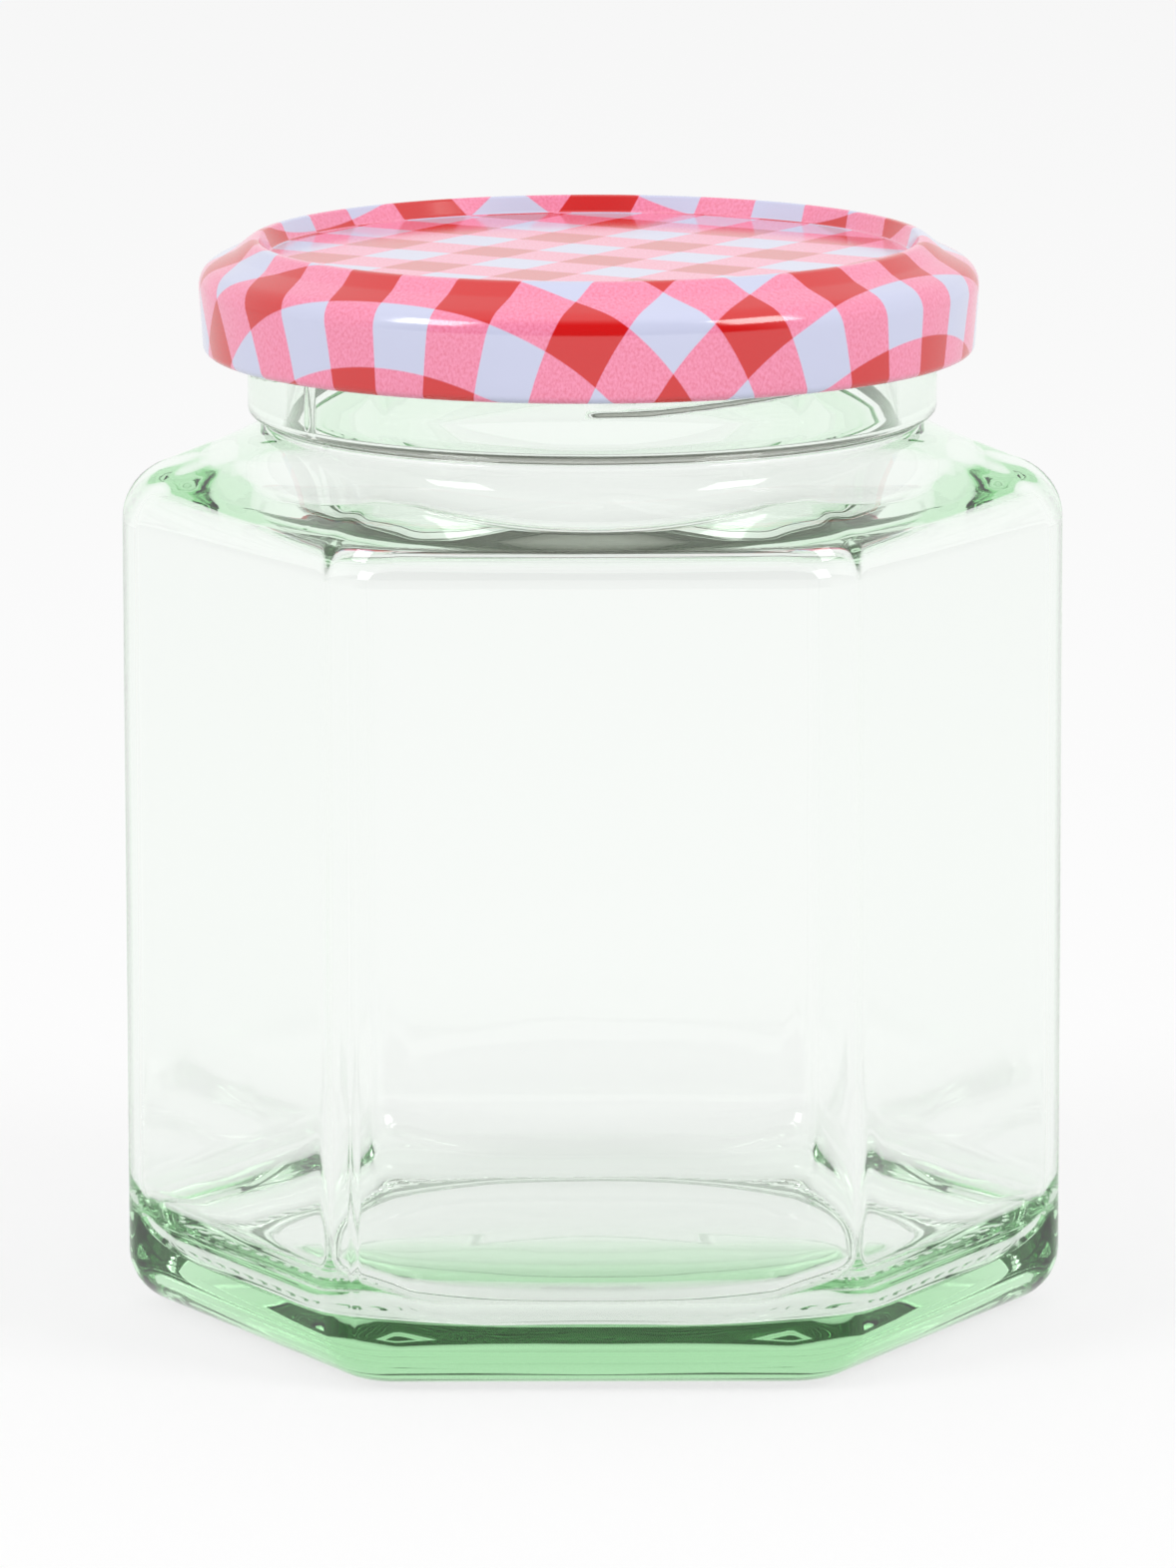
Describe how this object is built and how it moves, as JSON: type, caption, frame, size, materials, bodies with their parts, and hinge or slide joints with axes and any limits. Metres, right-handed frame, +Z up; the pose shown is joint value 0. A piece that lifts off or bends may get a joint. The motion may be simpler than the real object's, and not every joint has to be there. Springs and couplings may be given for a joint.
{
  "type": "screw-top glass jar",
  "caption": "Empty hexagonal glass preserving jar with a rounded shoulder, a threaded mouth and a twist-off metal lid printed with a gingham check.",
  "frame": {"origin": "middle of the standing surface, on the jar's upright axis", "axes": "+Z up along the jar's axis; +X towards one of the six upright corners; -Y out of the flat panel that faces the front"},
  "size_m": [0.0882, 0.0786, 0.1019],
  "materials": {
    "glass": "clear moulded",
    "lid": "gloss lacquer, printed check"
  },
  "bodies": {
    "root": {"glass_jar": "glass", "lid": "lid"}
  },
  "joints": []
}
